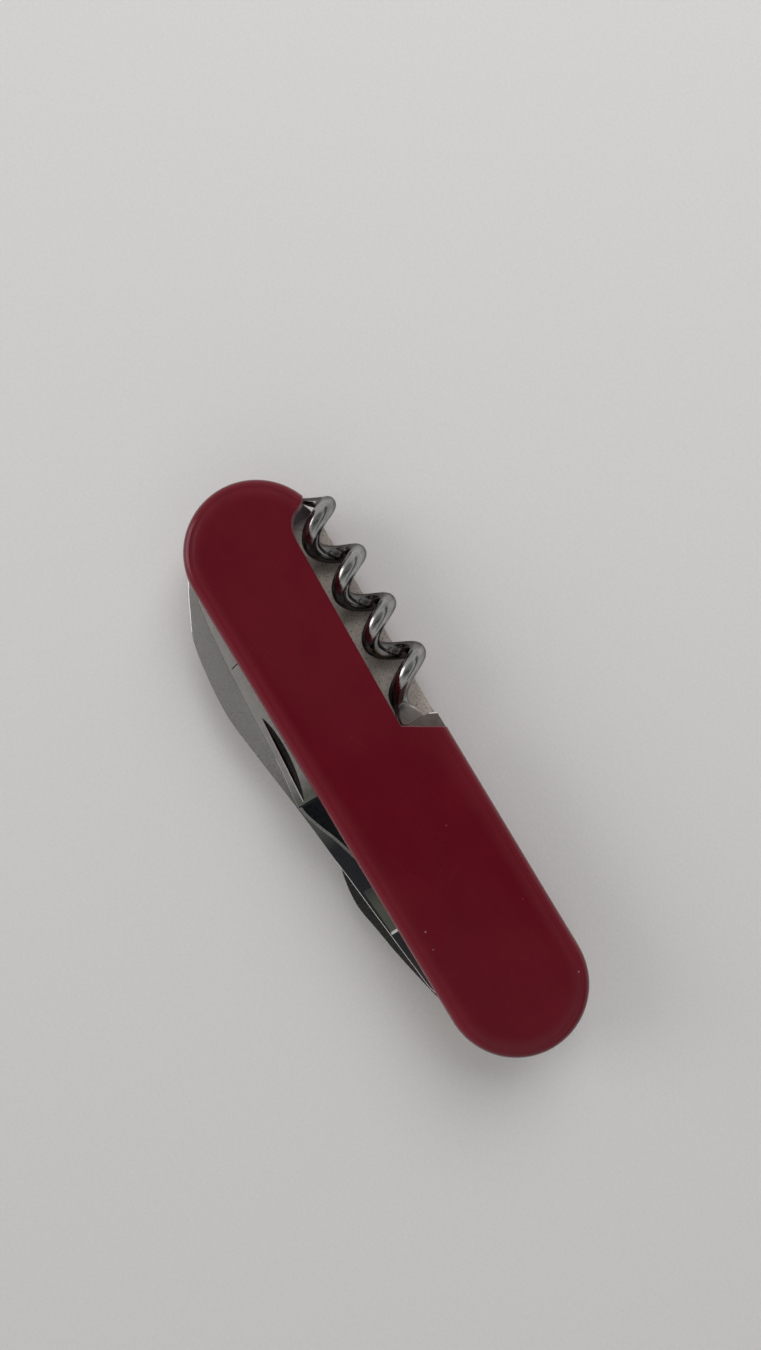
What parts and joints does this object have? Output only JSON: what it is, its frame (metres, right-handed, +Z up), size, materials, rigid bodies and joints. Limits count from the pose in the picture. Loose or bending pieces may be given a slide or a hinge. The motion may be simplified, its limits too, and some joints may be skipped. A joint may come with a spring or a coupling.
{
  "type": "folding pocket knife",
  "caption": "Closed folding pocket knife with rounded red scales, hinged blades, a combination opener with a nail nick, and a wire corkscrew folded into a notch in its back edge.",
  "frame": {"origin": "centre of the rear scale's outer face, which lies on the table", "axes": "+X along the handle from the corkscrew's tip end to the plain end, +Y to the back edge with the corkscrew, +Z up through the thickness to the front scale"},
  "size_m": [0.09, 0.0293, 0.0131],
  "materials": {
    "crimson_plastic": "glossy dark crimson with fine scratches",
    "satin_steel": "satin ground stainless steel",
    "bright_chrome": "bright polished",
    "dull_liner": "dull and dusty",
    "spring_steel": "plain steel",
    "brass": "plain brass"
  },
  "bodies": {
    "handle": {"front_scale": "crimson_plastic", "rear_scale": "crimson_plastic", "front_liner": "dull_liner", "middle_liner": "dull_liner", "rear_liner": "dull_liner", "front_spring": "spring_steel", "rear_spring": "spring_steel", "blade_rivet": "spring_steel", "small_blade_rivet": "spring_steel", "spring_rivet": "spring_steel", "corkscrew_pin": "spring_steel", "corkscrew_spacer_front": "brass", "corkscrew_spacer_rear": "brass", "blade_rivet_washer_front": "brass", "blade_rivet_washer_rear": "brass", "small_blade_rivet_washer_front": "brass", "small_blade_rivet_washer_rear": "brass", "spring_rivet_washer_front": "brass", "spring_rivet_washer_rear": "brass"},
    "combination_opener": {"combination_opener": "satin_steel"},
    "large_blade": {"large_blade": "satin_steel"},
    "small_blade": {"small_blade": "satin_steel"},
    "corkscrew": {"corkscrew": "bright_chrome"}
  },
  "joints": [
    {"name": "large_blade_hinge", "type": "hinge", "parent": "handle", "child": "large_blade", "pos_m": [-0.0375, -0.0018, 0.00495], "axis": [0, 0, -1], "range_deg": [0, 180]},
    {"name": "opener_hinge", "type": "hinge", "parent": "handle", "child": "combination_opener", "pos_m": [-0.0375, -0.0018, 0.00815], "axis": [0, 0, -1], "range_deg": [0, 180]},
    {"name": "small_blade_hinge", "type": "hinge", "parent": "handle", "child": "small_blade", "pos_m": [0.0375, -0.0005, 0.00495], "axis": [0, 0, 1], "range_deg": [0, 180]},
    {"name": "corkscrew_hinge", "type": "hinge", "parent": "handle", "child": "corkscrew", "pos_m": [-0.0011, 0.0068, 0.0077], "axis": [0, 0, -1], "range_deg": [0, 90]}
  ]
}
